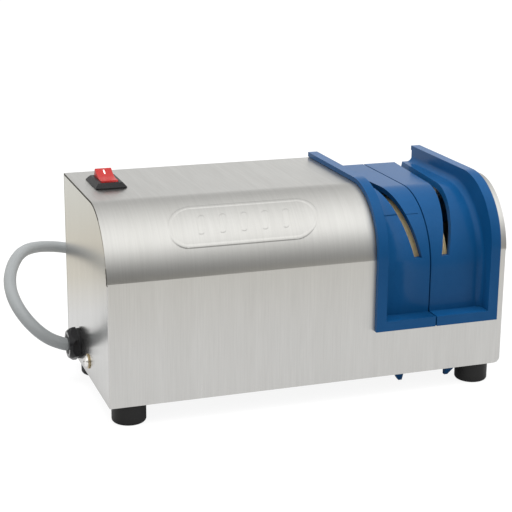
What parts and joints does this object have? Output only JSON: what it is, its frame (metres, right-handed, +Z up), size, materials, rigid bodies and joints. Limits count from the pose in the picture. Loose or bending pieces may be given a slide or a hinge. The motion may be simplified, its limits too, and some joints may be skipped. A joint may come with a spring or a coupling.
{
  "type": "electric knife sharpener",
  "caption": "Electric kitchen-knife sharpener: round-shouldered stainless housing, lift-off slotted guide over motor-driven abrasive wheels, rocker switch, gland and coiled mains lead.",
  "frame": {"origin": "centre of the machine's footprint, on the table, without its loose lead", "axes": "+X along the housing towards the knife guide, +Y to the back, +Z up"},
  "size_m": [0.3872, 0.3503, 0.1769],
  "materials": {
    "stainless": "vertically brushed stainless sheet",
    "zinc_sheet": "zinc-plated sheet",
    "foot_rubber": "moulded, slightly glossy",
    "guide_plastic": "satin moulded blue plastic",
    "abrasive": "fine abrasive grit",
    "seal_rubber": "moulded",
    "motor_steel": "stacked laminations",
    "copper_winding": "varnished wire",
    "cast_aluminium": "as cast",
    "turned_steel": "turned and ground",
    "white_plastic": "moulded",
    "rocker_plastic": "polished red",
    "black_plastic": "moulded",
    "brass_contacts": "stamped",
    "cord_sheath": "grey flexible sheath",
    "wire_insulation": "flexible insulation",
    "plug_plastic": "moulded",
    "plated_screws": "bright plated"
  },
  "bodies": {
    "machine": {"housing_shell": "stainless", "base_tray": "zinc_sheet", "housing_screws": "plated_screws", "partition_plate": "zinc_sheet", "partition_screws": "plated_screws", "foot_front_left": "foot_rubber", "foot_front_right": "foot_rubber", "foot_back_left": "foot_rubber", "foot_back_right": "foot_rubber", "foot_screws": "plated_screws", "foot_nuts": "plated_screws", "shaft_seal": "seal_rubber", "bearing_left": "turned_steel", "bearing_right": "turned_steel", "stator_core": "motor_steel", "stator_windings": "copper_winding", "motor_end_bell_left": "cast_aluminium", "motor_end_bell_right": "cast_aluminium", "motor_tie_bolts": "plated_screws", "motor_cradle": "zinc_sheet", "mount_ring_left": "seal_rubber", "mount_ring_right": "seal_rubber", "cradle_screws": "plated_screws", "run_capacitor": "white_plastic", "capacitor_strap": "zinc_sheet", "internal_leads": "wire_insulation", "switch_body": "black_plastic", "switch_terminals": "brass_contacts", "gland_body": "black_plastic", "gland_dome_nut": "black_plastic", "gland_lock_nut": "black_plastic", "gland_clamp": "seal_rubber", "power_cord": "cord_sheath", "cord_coil": "cord_sheath", "cord_tail": "cord_sheath", "cord_tie": "plug_plastic", "plug_body": "plug_plastic", "plug_pins": "brass_contacts"},
    "drive": {"wheel_left": "abrasive", "wheel_right": "abrasive", "wheel_spacer": "turned_steel", "wheel_flange_inner": "turned_steel", "wheel_flange_outer": "turned_steel", "shaft_nut": "plated_screws", "motor_shaft": "turned_steel", "motor_rotor": "motor_steel", "cooling_fan": "white_plastic"},
    "guide": {"guide_left_half": "guide_plastic", "guide_right_half": "guide_plastic", "guide_screws": "plated_screws"},
    "rocker": {"switch_rocker": "rocker_plastic"}
  },
  "joints": [
    {"name": "drive_spin", "type": "hinge", "parent": "machine", "child": "drive", "pos_m": [0, 0.0021, 0.086], "axis": [1, 0, 0], "continuous": true},
    {"name": "guide_lift", "type": "slide", "parent": "machine", "child": "guide", "axis": [0, 0, 1], "range_m": [0, 0.165]},
    {"name": "rocker_tilt", "type": "hinge", "parent": "machine", "child": "rocker", "pos_m": [-0.1405, 0.0295, 0.1689], "axis": [1, 0, 0], "range_deg": [-22, 0]}
  ]
}
